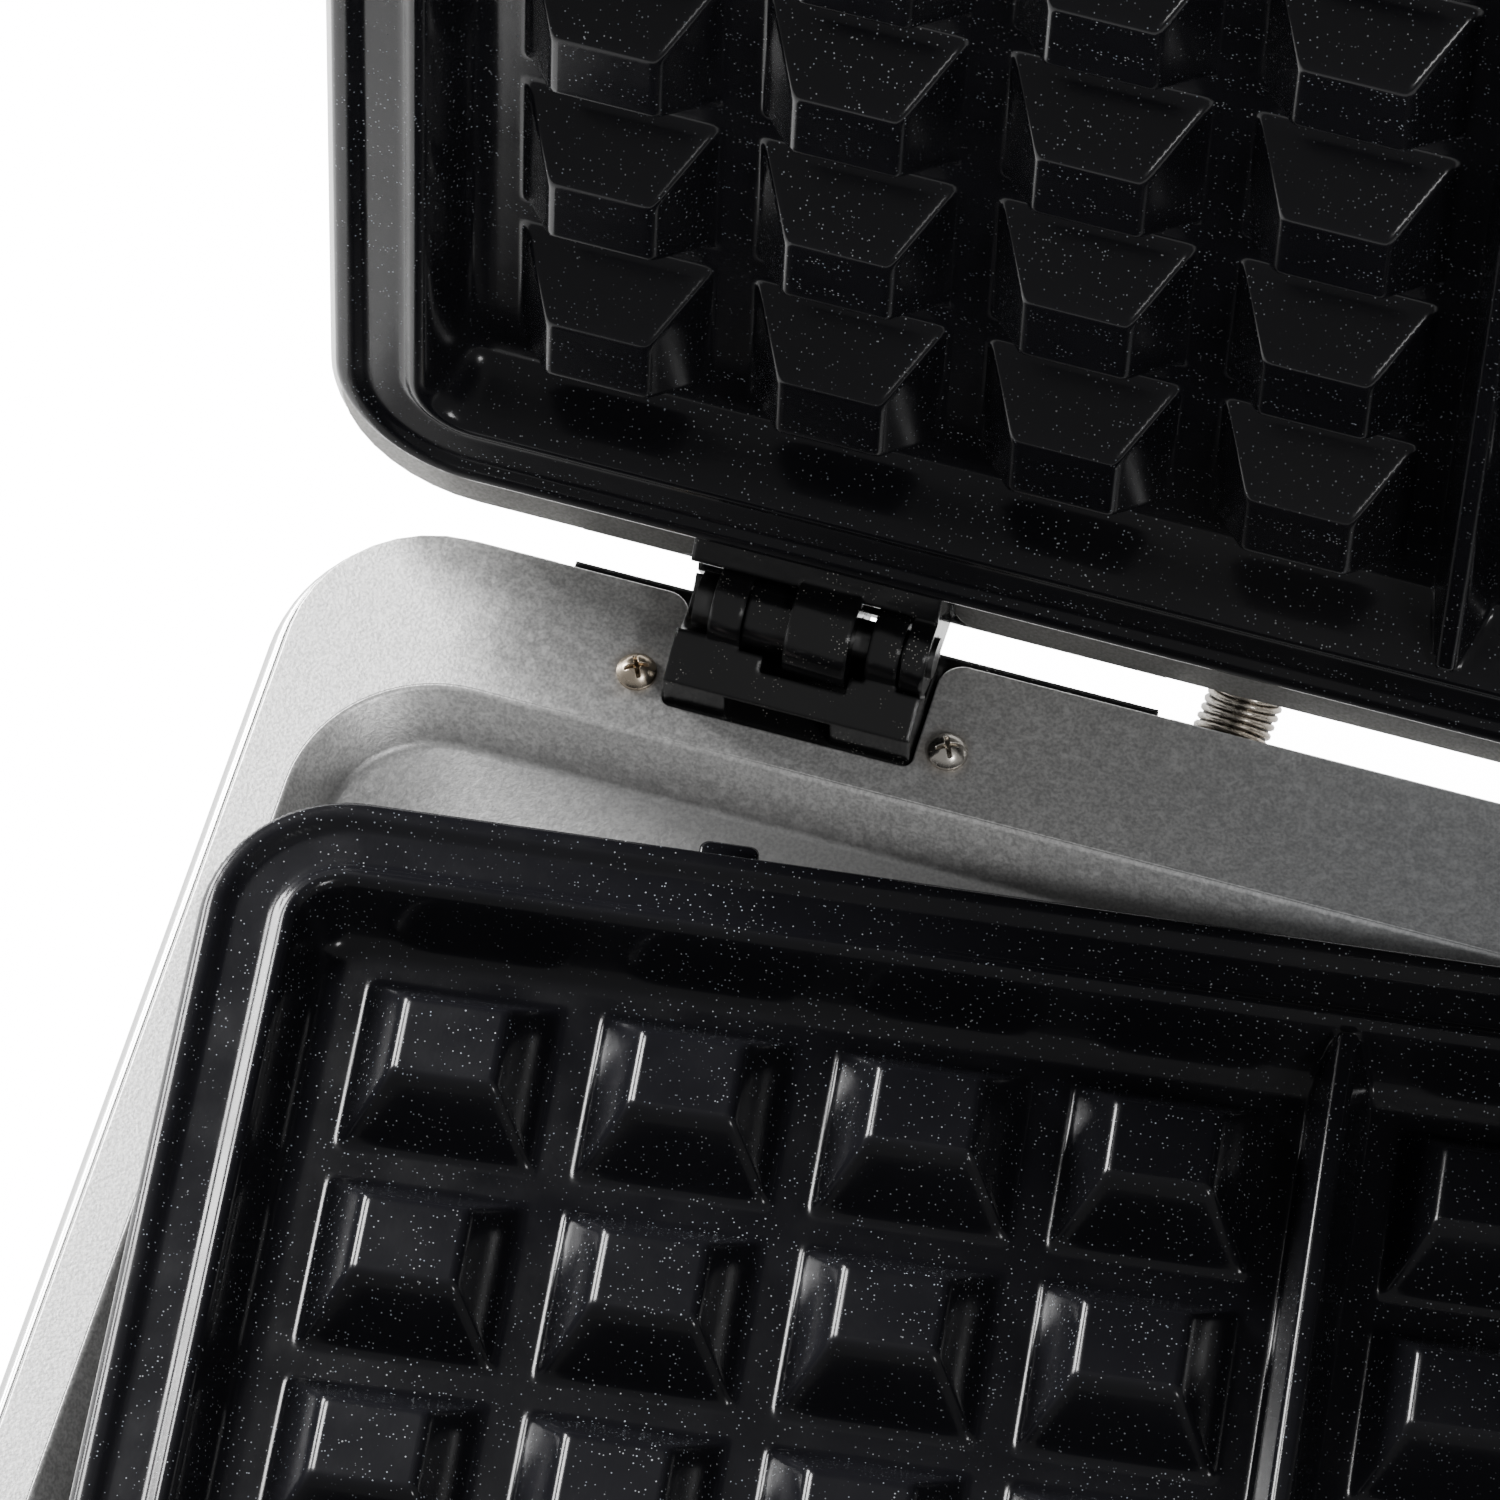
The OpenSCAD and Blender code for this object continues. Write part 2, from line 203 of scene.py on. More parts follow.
def tube(path, radius, sides=10):
    """A round tube along a path of points, with closed ends."""
    points, faces = [], []
    normal = None
    for i, p in enumerate(path):
        p = Vector(p)
        along = (Vector(path[min(i + 1, len(path) - 1)]) - Vector(path[max(i - 1, 0)])).normalized()
        if normal is None:
            normal = along.orthogonal().normalized()
        normal = (normal - along * normal.dot(along)).normalized()
        side = along.cross(normal)
        for j in range(sides):
            angle = 2 * math.pi * j / sides
            points.append(tuple(p + radius * (normal * math.cos(angle) + side * math.sin(angle))))
    for i in range(len(path) - 1):
        for j in range(sides):
            a, b = i * sides, (i + 1) * sides
            k = (j + 1) % sides
            faces.append((a + j, a + k, b + k, b + j))
    faces.append(tuple(reversed(range(sides))))
    faces.append(tuple(range((len(path) - 1) * sides, len(path) * sides)))
    return points, faces


def join(*parts):
    """Several (points, faces) as one."""
    points, faces = [], []
    for p, f in parts:
        shift = len(points)
        points += list(p)
        faces += [tuple(i + shift for i in face) for face in f]
    return points, faces


def soften(node, width, segments=3):
    """Rounded edges on a CAD node, by modifiers only."""
    part = frame["nodes"][node]
    weld = part.modifiers.new("Weld", "WELD")
    weld.merge_threshold = 0.00001
    bevel = part.modifiers.new("Edges", "BEVEL")
    bevel.width = width * MM
    bevel.segments = segments
    bevel.limit_method = "ANGLE"
    bevel.angle_limit = math.radians(40)
    bevel.use_clamp_overlap = True
    bevel.harden_normals = True


# ------------------------------------------------------------ material helpers
class Paint:
    """A Principled material and short calls for the nodes that feed it."""

    def __init__(self, name, base, roughness, metallic=0.0, coat=0.0, specular=0.5):
        self.material = bpy.data.materials.new(name)
        self.material.use_nodes = True
        self.tree = self.material.node_tree
        self.shader = self.tree.nodes["Principled BSDF"]
        self.shader.inputs["Base Color"].default_value = (*base, 1)
        self.shader.inputs["Roughness"].default_value = roughness
        self.shader.inputs["Metallic"].default_value = metallic
        self.shader.inputs["Coat Weight"].default_value = coat
        self.shader.inputs["Coat Roughness"].default_value = 0.08
        self.shader.inputs["Specular IOR Level"].default_value = specular
        self.place = self.node("ShaderNodeTexCoord").outputs["Object"]

    def node(self, kind, **values):
        made = self.tree.nodes.new(kind)
        for key, value in values.items():
            setattr(made, key, value)
        return made

    def link(self, out, into):
        self.tree.links.new(out, into)

    def stretched(self, scale, turn=(0, 0, 0)):
        """Object coordinates scaled unevenly, for streaks."""
        mapping = self.node("ShaderNodeMapping")
        mapping.inputs["Scale"].default_value = scale
        mapping.inputs["Rotation"].default_value = turn
        self.link(self.place, mapping.inputs["Vector"])
        return mapping.outputs["Vector"]

    def noise(self, scale, detail=2.0, place=None, distortion=0.0):
        made = self.node("ShaderNodeTexNoise")
        made.inputs["Scale"].default_value = scale
        made.inputs["Detail"].default_value = detail
        made.inputs["Distortion"].default_value = distortion
        self.link(place or self.place, made.inputs["Vector"])
        return made.outputs["Fac"]

    def cells(self, scale, place=None):
        made = self.node("ShaderNodeTexVoronoi")
        made.inputs["Scale"].default_value = scale
        self.link(place or self.place, made.inputs["Vector"])
        return made

    def ramp(self, value, low, high, start=0.0, end=1.0):
        """value mapped from low..high onto start..end, clamped."""
        made = self.node("ShaderNodeMapRange")
        made.inputs["From Min"].default_value = low
        made.inputs["From Max"].default_value = high
        made.inputs["To Min"].default_value = start
        made.inputs["To Max"].default_value = end
        self.link(value, made.inputs["Value"])
        return made.outputs["Result"]

    def math(self, operation, a, b):
        made = self.node("ShaderNodeMath", operation=operation)
        for socket, value in zip(made.inputs, (a, b)):
            if isinstance(value, (int, float)):
                socket.default_value = value
            else:
                self.link(value, socket)
        return made.outputs["Value"]

    def mix(self, factor, a, b, kind="MIX"):
        """Colour b over a by factor; each is a colour or a socket."""
        made = self.node("ShaderNodeMix", data_type="RGBA", blend_type=kind)
        self.link(factor, made.inputs["Factor"])
        for name, value in (("A", a), ("B", b)):
            socket = [s for s in made.inputs if s.name == name and s.type == "RGBA"][0]
            if isinstance(value, tuple):
                socket.default_value = (*value, 1)
            else:
                self.link(value, socket)
        return [s for s in made.outputs if s.type == "RGBA"][0]

    def spot(self, centre, radius, wobble=0.35):
        """1 near a point given in millimetres, fading to 0 at radius, with a ragged edge."""
        near = self.node("ShaderNodeVectorMath", operation="DISTANCE")
        near.inputs[1].default_value = tuple(c * MM for c in centre)
        self.link(self.place, near.inputs[0])
        ragged = self.math("MULTIPLY", self.noise(180, 3), wobble * radius * MM)
        far = self.math("ADD", near.outputs["Value"], ragged)
        return self.ramp(far, radius * MM, radius * MM * 0.25)

    def colour(self, out):
        self.link(out, self.shader.inputs["Base Color"])

    def roughness(self, out):
        self.link(out, self.shader.inputs["Roughness"])

    def bump(self, height, strength, distance=0.0002, rounding=0.0):
        """Fine relief; rounding, in millimetres, also shades the edges as if rounded."""
        made = self.node("ShaderNodeBump")
        if rounding:
            edge = self.node("ShaderNodeBevel", samples=6)
            edge.inputs["Radius"].default_value = rounding * MM
            self.link(edge.outputs["Normal"], made.inputs["Normal"])
        made.inputs["Strength"].default_value = strength
        made.inputs["Distance"].default_value = distance
        self.link(height, made.inputs["Height"])
        self.link(made.outputs["Normal"], self.shader.inputs["Normal"])


def coated_plate():
    """Glossy black non-stick coating with fine light flecks, dust and rub marks."""
    p = Paint("coated_plate", (0.006, 0.006, 0.007), 0.2, specular=0.27)
    dots = p.cells(2100)
    chosen = p.ramp(dots.outputs["Color"], 0.6, 0.72)
    fine = p.math("MULTIPLY", p.ramp(dots.outputs["Distance"], 0.24, 0.14), chosen)
    bits = p.cells(900)
    picked = p.ramp(bits.outputs["Color"], 0.7, 0.8)
    coarse = p.math("MULTIPLY", p.ramp(bits.outputs["Distance"], 0.12, 0.08), picked)
    patch = p.ramp(p.noise(55, 4), 0.36, 0.66, 0.15, 1)
    flecks = p.math("MULTIPLY", p.math("MAXIMUM", fine, coarse), patch)
    tone = p.mix(p.noise(40, 3), (0.004, 0.004, 0.005), (0.008, 0.008, 0.010))
    tinted = p.mix(p.noise(700, 1), (0.20, 0.27, 0.36), (0.5, 0.48, 0.45))
    speckled = p.mix(flecks, tone, tinted)
    wear = p.ramp(p.noise(14, 4), 0.6, 0.8, 0, 0.3)
    p.colour(p.mix(wear, speckled, (0.022, 0.021, 0.02)))
    p.roughness(p.ramp(p.noise(120, 4), 0.3, 0.7, 0.15, 0.24))
    p.bump(p.noise(1300, 2), 0.06, 0.0001)
    return p.material


def pan_sheet(body):
    """Fine-grained aluminised sheet with faint scratches, heat tint and brown stains by the screws; painted
    shade darkens the recess and, with a slight brown heat tint, the lid's whole sheet.
    """
    p = Paint("pan_sheet_" + body, (0.7, 0.7, 0.7), 0.44, metallic=0.72 if body == "base" else 1.0)
    grain = p.noise(2300, 2)
    cloud = p.noise(11, 2)
    tone = p.mix(cloud, (0.66, 0.66, 0.66), (0.80, 0.79, 0.77))
    tone = p.mix(p.ramp(grain, 0.38, 0.62, 0, 0.6), tone, (0.38, 0.38, 0.38))
    tone = p.mix(p.ramp(p.noise(900, 3), 0.55, 0.75, 0, 0.5), tone, (0.86, 0.86, 0.85))
    streaks = p.noise(60, 3, place=p.stretched((0.6, 14, 14), (0, 0, 0.35)))
    scratched = p.ramp(streaks, 0.68, 0.71, 0, 0.2)
    tone = p.mix(scratched, tone, (0.8, 0.8, 0.8))
    if body == "lid":
        # painted shade on the lid's sheet: its colour is pulled far down to a dark brown, a slight heat tint
        # but mostly standing in for shade and dark reflections
        tone = p.mix(p.ramp(cloud, 0, 1, 0.55, 0.7), tone, (0.10, 0.095, 0.085))
    if body == "base":
        height = p.node("ShaderNodeSeparateXYZ")
        p.link(p.place, height.inputs["Vector"])
        # painted shade: the sheet grows darker with depth down the recess under the plate
        recess_shade = p.ramp(height.outputs["Z"], (RIM - 6.2) * MM, (RIM - 3.0) * MM, 0.6, 0)
        tone = p.mix(recess_shade, tone, (0.26, 0.26, 0.26))
        tint = p.spot((8, REAR - 6, RIM), 62, 0.2)
        tone = p.mix(p.math("MULTIPLY", tint, 0.3), tone, (0.50, 0.54, 0.60))
        for x, y in screw_places():
            stain = p.spot((x, y, RIM), 7.5, 0.9)
            tone = p.mix(p.math("MULTIPLY", stain, 0.75), tone, (0.33, 0.23, 0.13))
    p.colour(tone)
    p.roughness(p.ramp(p.noise(900, 2), 0.3, 0.7, 0.38, 0.5))
    p.bump(grain, 0.4, 0.00008)
    return p.material


def shell_steel():
    """Polished sheet steel with a soft brushed grain and faint smears."""
    p = Paint("steel_shell", (0.6, 0.6, 0.59), 0.24, metallic=1.0)
    p.colour(p.mix(p.noise(9, 3), (0.55, 0.55, 0.55), (0.66, 0.66, 0.65)))
    brushed = p.noise(700, 2, place=p.stretched((0.03, 0.03, 1.0)))
    smear = p.noise(25, 5, distortion=0.8)
    p.roughness(p.math("ADD", p.ramp(smear, 0.3, 0.75, 0.18, 0.28), p.ramp(brushed, 0.3, 0.7, 0, 0.06)))
    p.bump(brushed, 0.05, 0.00005)
    return p.material


def gloss_enamel():
    """Black enamel on the hinge castings, with a little dust and orange peel."""
    p = Paint("hinge_casting", (0.006, 0.006, 0.006), 0.14, specular=0.5)
    dust = p.math(
        "MULTIPLY",
        p.ramp(p.cells(2200).outputs["Distance"], 0.22, 0.1),
        p.ramp(p.noise(260, 3), 0.52, 0.66),
    )
    p.colour(p.mix(dust, p.mix(p.noise(60), (0.004, 0.004, 0.005), (0.009, 0.009, 0.009)), (0.4, 0.39, 0.36)))
    p.roughness(p.ramp(p.noise(200, 4), 0.3, 0.7, 0.10, 0.22))
    p.bump(p.noise(300, 2), 0.15, 0.0003, rounding=0.8)
    return p.material


def moulded(name, base, roughness=0.42):
    """Moulded plastic or rubber with a spark-eroded texture and slight wear."""
    p = Paint(name, base, roughness)
    lighter = tuple(min(1, c * 1.8 + 0.01) for c in base)
    p.colour(p.mix(p.ramp(p.noise(45, 5), 0.45, 0.75, 0, 0.6), base, lighter))
    p.roughness(p.ramp(p.noise(150, 3), 0.3, 0.7, roughness - 0.08, min(1, roughness + 0.1)))
    p.bump(p.noise(1600, 2), 0.25, 0.0001)
    return p.material


def bare_metal(name, base, roughness, tint=None):
    """Plain metal with fine grain, small scratches and an optional heat tint."""
    p = Paint(name, base, roughness, metallic=1.0)
    dark = tuple(c * 0.72 for c in base)
    tone = p.mix(p.noise(160, 4), dark, base)
    if tint:
        tone = p.mix(p.ramp(p.noise(35, 3), 0.4, 0.65), tone, tint)
    p.colour(tone)
    p.roughness(p.ramp(p.noise(600, 3), 0.3, 0.7, roughness - 0.06, roughness + 0.1))
    p.bump(p.noise(1800, 2), 0.15, 0.00006)
    return p.material


def lens(name, base):
    """A clear coloured lamp lens with moulded facets."""
    p = Paint(name, base, 0.12)
    p.shader.inputs["Transmission Weight"].default_value = 0.6
    p.colour(p.mix(p.noise(250, 2), base, tuple(c * 0.6 for c in base)))
    p.bump(p.cells(900).outputs["Distance"], 0.4, 0.0002)
    return p.material


PAINTS = {
    "steel_shell": shell_steel(),
    "pan_sheet": pan_sheet("base"),
    "pan_sheet_lid": pan_sheet("lid"),
    "coated_plate": coated_plate(),
    "hinge_casting": gloss_enamel(),
    "pin_steel": bare_metal("pin_steel", (0.10, 0.10, 0.10), 0.34),
    "screw_nickel": bare_metal("screw_nickel", (0.70, 0.66, 0.60), 0.24, (0.55, 0.45, 0.33)),
    "handle_plastic": moulded("handle_plastic", (0.018, 0.018, 0.019), 0.38),
    "knob_plastic": moulded("knob_plastic", (0.02, 0.02, 0.021), 0.42),
    "bottom_sheet": moulded("bottom_sheet", (0.09, 0.09, 0.09), 0.5),
    "foot_rubber": moulded("foot_rubber", (0.015, 0.015, 0.015), 0.75),
    "heater_sheath": bare_metal("heater_sheath", (0.33, 0.29, 0.26), 0.45, (0.2, 0.16, 0.2)),
    "clip_sheet": bare_metal("clip_sheet", (0.62, 0.62, 0.62), 0.35),
    "ceramic": moulded("ceramic", (0.78, 0.75, 0.66), 0.7),
    "wire_sleeve": moulded("wire_sleeve", (0.38, 0.07, 0.05), 0.85),
    "outlet_plastic": moulded("outlet_plastic", (0.02, 0.02, 0.02), 0.5),
    "conduit_nickel": bare_metal("conduit_nickel", (0.36, 0.34, 0.31), 0.22, (0.30, 0.25, 0.19)),
    "release_plastic": moulded("release_plastic", (0.02, 0.02, 0.02), 0.45),
    "bezel_plastic": moulded("bezel_plastic", (0.02, 0.02, 0.02), 0.25),
    "lamp_red": lens("lamp_red", (0.65, 0.03, 0.02)),
    "lamp_green": lens("lamp_green", (0.05, 0.5, 0.1)),
    "latch_steel": bare_metal("latch_steel", (0.72, 0.72, 0.71), 0.25),
}


# ------------------------------------------------------------ baking plates
def rounded_box_distance(x, y, half_x, half_y, radius):
    """Signed distance from a rounded rectangle centred on the origin, negative inside."""
    qx, qy = np.abs(x) - (half_x - radius), np.abs(y) - (half_y - radius)
    outside = np.hypot(np.maximum(qx, 0), np.maximum(qy, 0))
    return outside + np.minimum(np.maximum(qx, qy), 0) - radius


def soft_max(a, b, width):
    """The larger of two, with a rounded step of that width."""
    h = np.clip(0.5 + (a - b) / (2 * width), 0, 1)
    return b + (a - b) * h + width * h * (1 - h)


def soft_min(a, b, width):
    return -soft_max(-a, -b, width)


def rim_profile(inward):
    """Height of the plate's edge over the distance in from its outline."""
    corners = [(0, -1.6), (0.2, -0.75), (0.6, -0.22), (1.3, 0), (2.9, -0.1), (3.7, -0.95)]
    corners += [(8.8, -0.95), (9.6, -0.1), (10.2, 0), (10.9, -0.1), (11.5, -0.8)]
    corners += [(13.7, -7.0), (14.3, -8.2), (15.3, -8.95), (17.0, -FLOOR_DEPTH), (300, -FLOOR_DEPTH)]
    t = np.arange(-1.5, 300, 0.05)
    z = np.interp(t, [c[0] for c in corners], [c[1] for c in corners])
    kernel = np.exp(-0.5 * (np.arange(-20, 21) * 0.05 / 0.28) ** 2)
    padded = np.pad(z, 20, mode="edge")
    z_smooth = np.convolve(padded, kernel / kernel.sum(), mode="valid")
    return np.interp(inward, t, np.where(t < 1.5, z, z_smooth))


def plate_surface(x, y):
    """Height of the baking side from the parting plane, up positive; y runs forward from its rear."""
    inward = -rounded_box_distance(x, y - PLATE_DEPTH / 2, PLATE_HALF, PLATE_DEPTH / 2, PLATE_R)
    z = rim_profile(inward)
    rib = -np.maximum(np.abs(x) - 0.95, 0) * 3.6 - np.maximum(12.5 - inward, 0) * 4
    rib = soft_min(rib, np.zeros_like(rib) - 0.05, 0.35)
    column = np.clip(np.round((np.abs(x) - FIRST_X) / PITCH_X), 0, 3)
    row = np.clip(np.round((y - FIRST_Y) / PITCH_Y), 0, 5)
    beside = (np.abs(np.abs(x) - FIRST_X - column * PITCH_X) - TIP_X) * SLOPE_X
    ahead = (np.abs(y - FIRST_Y - row * PITCH_Y) - TIP_Y) * SLOPE_Y
    stud = STUD_TIP - soft_max(soft_max(beside, ahead, 1.1), np.zeros_like(x), 0.9)
    z = soft_max(z, rib, 0.7)
    return soft_max(z, stud, 0.9)


def plate_top(step):
    """The baking side as a fine grid, cut to the plate's outline."""
    xs = np.linspace(-PLATE_HALF, PLATE_HALF, int(2 * PLATE_HALF / step) | 1)
    ys = np.linspace(0, PLATE_DEPTH, int(PLATE_DEPTH / step) | 1)
    x, y = np.meshgrid(xs, ys)
    outside = rounded_box_distance(x, y - PLATE_DEPTH / 2, PLATE_HALF, PLATE_DEPTH / 2, PLATE_R)
    cx = np.sign(x) * (PLATE_HALF - PLATE_R)
    cy = np.where(y < PLATE_DEPTH / 2, PLATE_R, PLATE_DEPTH - PLATE_R)
    away = np.hypot(x - cx, y - cy)
    pull = np.where(outside > 0, PLATE_R / np.maximum(away, 1e-6), 1)
    x2, y2 = cx + (x - cx) * pull, cy + (y - cy) * pull
    z = plate_surface(x2, y2)
    keep = outside < step * 0.75
    index = -np.ones(x.shape, int)
    quads = keep[:-1, :-1] & keep[1:, :-1] & keep[:-1, 1:] & keep[1:, 1:]
    used = np.zeros(x.shape, bool)
    for a, b in ((slice(None, -1), slice(None, -1)), (slice(1, None), slice(None, -1)),
                 (slice(None, -1), slice(1, None)), (slice(1, None), slice(1, None))):
        used[a, b] |= quads
    index[used] = np.arange(used.sum())
    points = np.stack([x2[used], PLATE_REAR - y2[used], PARTING + z[used]], 1)
    i, j = np.nonzero(quads)
    faces = np.stack([index[i, j], index[i + 1, j], index[i + 1, j + 1], index[i, j + 1]], 1)
    return [tuple(p) for p in points.tolist()], [tuple(f) for f in faces.tolist()]


def plate_back():
    """The plate's edge, underside and tray, from the outline inwards."""
    front = PLATE_REAR - PLATE_DEPTH
    inset = [(0.02, -1.55), (0, -2.3), (0.25, -2.85), (0.8, -3.0), (9.3, -3.0), (9.9, -3.4)]
    inset += [(12.6, -TRAY_DEPTH + 1.5), (14.2, -TRAY_DEPTH + 0.05), (60, -TRAY_DEPTH + 0.02)]
    rings = []
    for d, z in inset:
        r = max(PLATE_R - d, 6)
        rings.append(ring(PLATE_HALF - d, front + d, PLATE_REAR - d, r, PARTING + z, 24))
    points, faces = loft(rings, close_last=True)
    return points, [tuple(reversed(f)) for f in faces]


def rounded_block(x, half, y0, y1, steps):
    """A small block with rounded upright corners, from (inset, height from the parting plane)."""
    rings = []
    for inset, z in steps:
        outline = ring(half - inset, y0, y1 - inset, 1.2, PARTING + z, 6)
        rings.append([(x + p[0], p[1], p[2]) for p in outline])
    points, faces = loft(rings, close_first=True, close_last=True)
    return points, [tuple(reversed(f)) for f in faces]


def plate_tab(x):
    """One rear tab: a root under the plate's flange and a tongue that hooks under a bracket."""
    root_steps = ((0, -2.9), (0, -5.9), (0.4, -6.3))
    root = rounded_block(x, TAB_HALF, PLATE_REAR - 3, PLATE_REAR - 0.1, root_steps)
    tongue_steps = ((0.5, -4.65), (0.1, -4.95), (0.1, -5.9), (0.5, -6.35))
    tongue = rounded_block(x, TAB_HALF, PLATE_REAR - 2.8, PLATE_REAR + 3.9, tongue_steps)
    return join(root, tongue)


def make_plate(name, place, body):
    step = 0.5
    parts = join(plate_top(step), plate_back(), plate_tab(-TAB_X), plate_tab(TAB_X))
    return new_piece(name + "_cast", *parts, place, body, PAINTS["coated_plate"], (name,))


# ------------------------------------------------------------ pans
def arc_path(corners):
    """A closed outline whose corners (x, y, radius) are rounded by arcs."""
    path = []
    count = len(corners)
    for i, (x, y, radius) in enumerate(corners):
        here = Vector((x, y))
        if radius == 0:
            path.append((x, y))
            continue
        before = (Vector(corners[i - 1][:2]) - here).normalized()
        after = (Vector(corners[(i + 1) % count][:2]) - here).normalized()
        half = before.angle(after) / 2
        centre = here + (before + after).normalized() * radius / math.sin(half)
        start = here + before * radius / math.tan(half) - centre
        end = here + after * radius / math.tan(half) - centre
        sweep = start.angle_signed(end)
        steps = max(4, int(abs(sweep) / 0.16))
        for k in range(steps + 1):
            turned = start.copy()
            turned.rotate(Matrix.Rotation(-sweep * k / steps, 2))
            path.append(tuple(centre + turned))
    return path


def sheet_from_outlines(outlines, thickness, edge):
    """Points and faces of a flat sheet with holes and rounded edges, its top at z 0."""
    curve = bpy.data.curves.new("sheet", "CURVE")
    curve.dimensions = "2D"
    curve.fill_mode = "BOTH"
    curve.extrude = thickness / 2 - edge
    curve.bevel_depth = edge
    curve.bevel_resolution = 2
    curve.offset = -edge
    for outline in outlines:
        spline = curve.splines.new("POLY")
        spline.points.add(len(outline) - 1)
        for point, (x, y) in zip(spline.points, outline):
            point.co = (x, y, 0, 1)
        spline.use_cyclic_u = True
    holder = bpy.data.objects.new("sheet", curve)
    bpy.context.collection.objects.link(holder)
    bpy.context.view_layer.update()
    flat = bpy.data.meshes.new_from_object(holder.evaluated_get(bpy.context.evaluated_depsgraph_get()))
    points = [(v.co.x, v.co.y, v.co.z - thickness / 2) for v in flat.vertices]
    faces = [tuple(p.vertices) for p in flat.polygons]
    bpy.data.objects.remove(holder)
    bpy.data.meshes.remove(flat)
    bpy.data.curves.remove(curve)
    return points, faces


def pan_outline():
    """The pan's edge with the two bracket cut-outs at the rear and the release cut-out in front."""
    bracket_y, release_y = REAR - BRACKET_DEPTH, FRONT + RELEASE_DEPTH
    corners = [(HALF_W, FRONT, PAN_R), (HALF_W, REAR, PAN_R)]
    for side in (1, -1):
        x0, x1 = side * HINGE_X + BRACKET_HALF, side * HINGE_X - BRACKET_HALF
        corners += [(x0, REAR, 3.2), (x0, bracket_y, 1.2), (x1, bracket_y, 1.2), (x1, REAR, 3.2)]
    corners += [(-HALF_W, REAR, PAN_R), (-HALF_W, FRONT, PAN_R)]
    corners += [(-RELEASE_HALF, FRONT, 1.5), (-RELEASE_HALF, release_y, 1)]
    corners += [(RELEASE_HALF, release_y, 1), (RELEASE_HALF, FRONT, 1.5)]
    return arc_path(corners)


def make_pan(name, place, body, paint):
    half, y0, y1, radius = RECESS
    hole = [(p[0], p[1]) for p in ring(half, y0, y1, radius, 0, 24)]
    outlines = [pan_outline(), hole]
    around = np.linspace(0, 2 * math.pi, 24, endpoint=False)
    for x, y in screw_places():
        outlines.append([(x + SCREW_HOLE_R * math.cos(a), y + SCREW_HOLE_R * math.sin(a)) for a in around])
    flat_points, flat_faces = sheet_from_outlines(outlines, SHEET, 0.22)
    flat = ([(p[0], p[1], p[2] + RIM) for p in flat_points], flat_faces)
    fold = [(0.25, -0.02), (0.45, 0.0), (-0.1, -0.05), (-0.55, -0.35), (-4.4, -5.6), (-4.8, -6.0)]
    fold += [(-5.4, -6.25), (-13.6, -6.6), (-14.4, -6.9), (-14.8, -7.6), (-15.2, -18.0)]
    fold += [(-15.8, -18.8), (-40, -19.0)]
    rings = []
    for grow, z in fold:
        corner = max(radius + grow, 7)
        rings.append(ring(half + grow, y0 - grow, y1 + grow, corner, RIM + z, 24))
    points, faces = loft(rings, close_last=True)
    pan = join(flat, (points, faces))
    return new_piece(name + "_sheet", *pan, place, body, paint, (name,))


# ------------------------------------------------------------ housings
def notch_height(x, y):
    """Highest a housing wall may stand at this place: it is cut down behind the hinge brackets."""
    behind = y > REAR - 2 and any(low < x < high for low, high in NOTCHES)
    return RIM - 4.6 if behind else math.inf


def make_shell(name, place, body):
    """A drawn sheet housing with a rounded shoulder under the pan's edge and a soft bottom edge."""
    profile = [(-0.35, 0.2, -1.0), (0.55, 0.35, -0.75), (1.15, 0.42, -1.1), (1.75, 0.46, -2.0)]
    profile += [(2.2, 0.5, -3.3), (2.4, 0.55, -5.0), (2.4, 0.6, -9.0)]
    if body == "base":
        bottom = SHELL_BOTTOM - RIM
        profile += [(2.35, 0.6, bottom + 1.2), (2.0, 0.4, bottom + 0.3), (1.5, 0, bottom)]
    else:
        profile += [(2.4, 0.6, 14 - RIM), (1.9, 0.2, 10.6 - RIM), (0.4, -1.2, 8.2 - RIM)]
        profile += [(-2.2, -3.6, 6.6 - RIM), (-6, -7, 5.7 - RIM), (-14, -14, 5.42 - RIM)]
        profile += [(-20, -20, 5.42 - RIM), (-70, -70, 5.42 - RIM)]

    def outline(side, rear, z):
        corner = max(PAN_R + 1.2 + side * 0.4, 8)
        edge = split_straights(ring(HALF_W + side, FRONT - side, REAR + rear, corner, RIM + z, 16))
        return [(x, y, min(z, notch_height(x, y))) for x, y, z in edge]

    outer = [outline(*step) for step in profile]
    lift = 0.75 if body == "lid" else 0
    inner = [outline(side - 0.75, rear - 0.75, z + lift) for side, rear, z in profile[2:]]
    rings = list(reversed(inner)) + outer
    capped = body == "lid"
    if not capped:
        rings.append(rings[0])
    points, faces = loft(rings, close_first=capped, close_last=capped)
    return new_piece(name + "_drawn", points, faces, place, body, PAINTS["steel_shell"], (name,))


